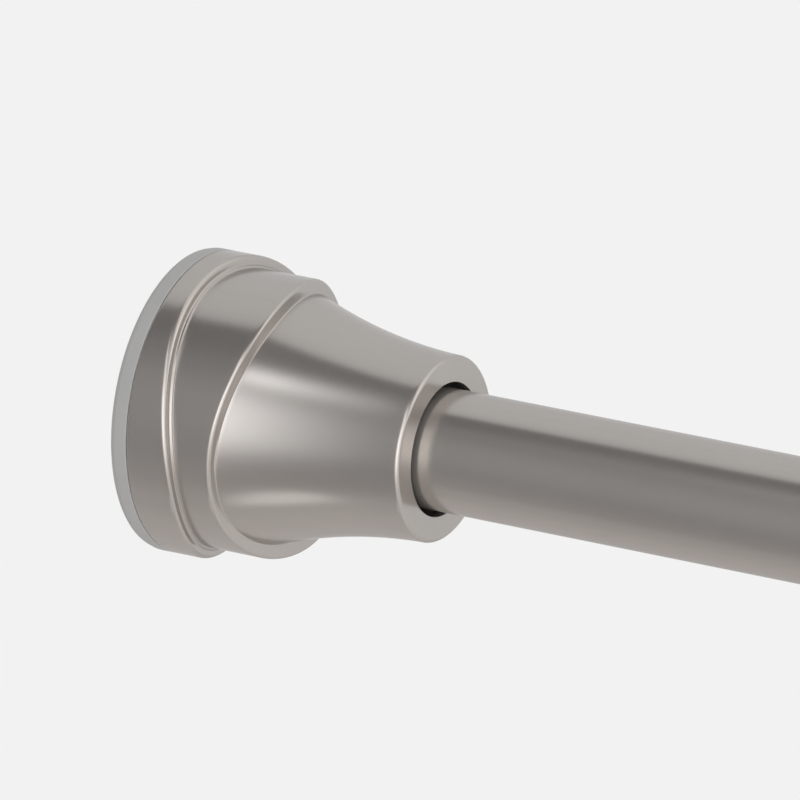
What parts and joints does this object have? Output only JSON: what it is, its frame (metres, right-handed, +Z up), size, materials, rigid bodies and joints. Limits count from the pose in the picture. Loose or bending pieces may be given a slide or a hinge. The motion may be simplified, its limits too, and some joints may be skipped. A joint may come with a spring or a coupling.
{
  "type": "extendable shower curtain rod",
  "caption": "Extendable shower curtain rod that presses between two walls: telescoping tubes with a twist lock and pressure spring, grey wall pads and stepped, flared end covers.",
  "frame": {"origin": "centre of the left wall pad's wall face, with the rod collapsed", "axes": "+X along the rod to the right wall, +Z up, -X out of the left pad into the left wall"},
  "size_m": [1.067, 0.0636, 0.0636],
  "materials": {
    "tube_nickel": "fine brushed nickel plate along the tube",
    "cover_nickel": "brushed nickel plate, brushed round the axis",
    "pad_rubber": "smooth light grey moulded rubber",
    "foot_plastic": "black moulded plastic",
    "bush_nylon": "natural nylon",
    "lock_plastic": "dark moulded plastic",
    "nut_brass": "machined brass",
    "zinc_steel": "bright zinc plate",
    "spring_steel": "oiled spring steel"
  },
  "bodies": {
    "outer": {"wall_pad_left": "pad_rubber", "foot_plate_left": "foot_plastic", "foot_screw_left": "zinc_steel", "tube_plug_left": "foot_plastic", "outer_tube": "tube_nickel", "mouth_bush": "bush_nylon"},
    "cover_left": {"cover_left": "cover_nickel"},
    "expander": {"expander_collet": "lock_plastic"},
    "wedge": {"taper_nut": "nut_brass"},
    "screw": {"lock_stud": "zinc_steel", "thrust_washer": "zinc_steel", "end_nut": "zinc_steel", "spring_carrier": "lock_plastic", "drive_pin": "zinc_steel"},
    "inner": {"inner_tube": "tube_nickel", "tail_bush": "bush_nylon", "pressure_spring": "spring_steel", "spring_seat": "lock_plastic", "seat_rivet": "zinc_steel", "tube_plug_right": "foot_plastic", "foot_plate_right": "foot_plastic", "foot_screw_right": "zinc_steel", "wall_pad_right": "pad_rubber", "reducer_sleeve": "foot_plastic"},
    "cover_right": {"cover_right": "cover_nickel"}
  },
  "joints": [
    {"name": "cover_left_slide", "type": "slide", "parent": "outer", "child": "cover_left", "axis": [1, 0, 0], "range_m": [0, 0.45]},
    {"name": "extend", "type": "slide", "parent": "outer", "child": "expander", "axis": [1, 0, 0], "range_m": [0, 0.762]},
    {"name": "nut_draw", "type": "slide", "parent": "expander", "child": "wedge", "axis": [1, 0, 0], "range_m": [0, 0.003]},
    {"name": "twist", "type": "hinge", "parent": "expander", "child": "screw", "pos_m": [0.1, 0, 0], "axis": [1, 0, 0], "range_deg": [0, 540]},
    {"name": "press", "type": "slide", "parent": "screw", "child": "inner", "axis": [1, 0, 0], "range_m": [-0.03, 0], "stiffness_N_per_m": 3000, "springref_m": 0.0067, "deforming": ["pressure_spring"]},
    {"name": "cover_right_slide", "type": "slide", "parent": "inner", "child": "cover_right", "axis": [1, 0, 0], "range_m": [-0.45, 0]}
  ],
  "couplings": [
    {"joint": "nut_draw", "follows": "twist", "m_per_rad": 0.00031831}
  ]
}
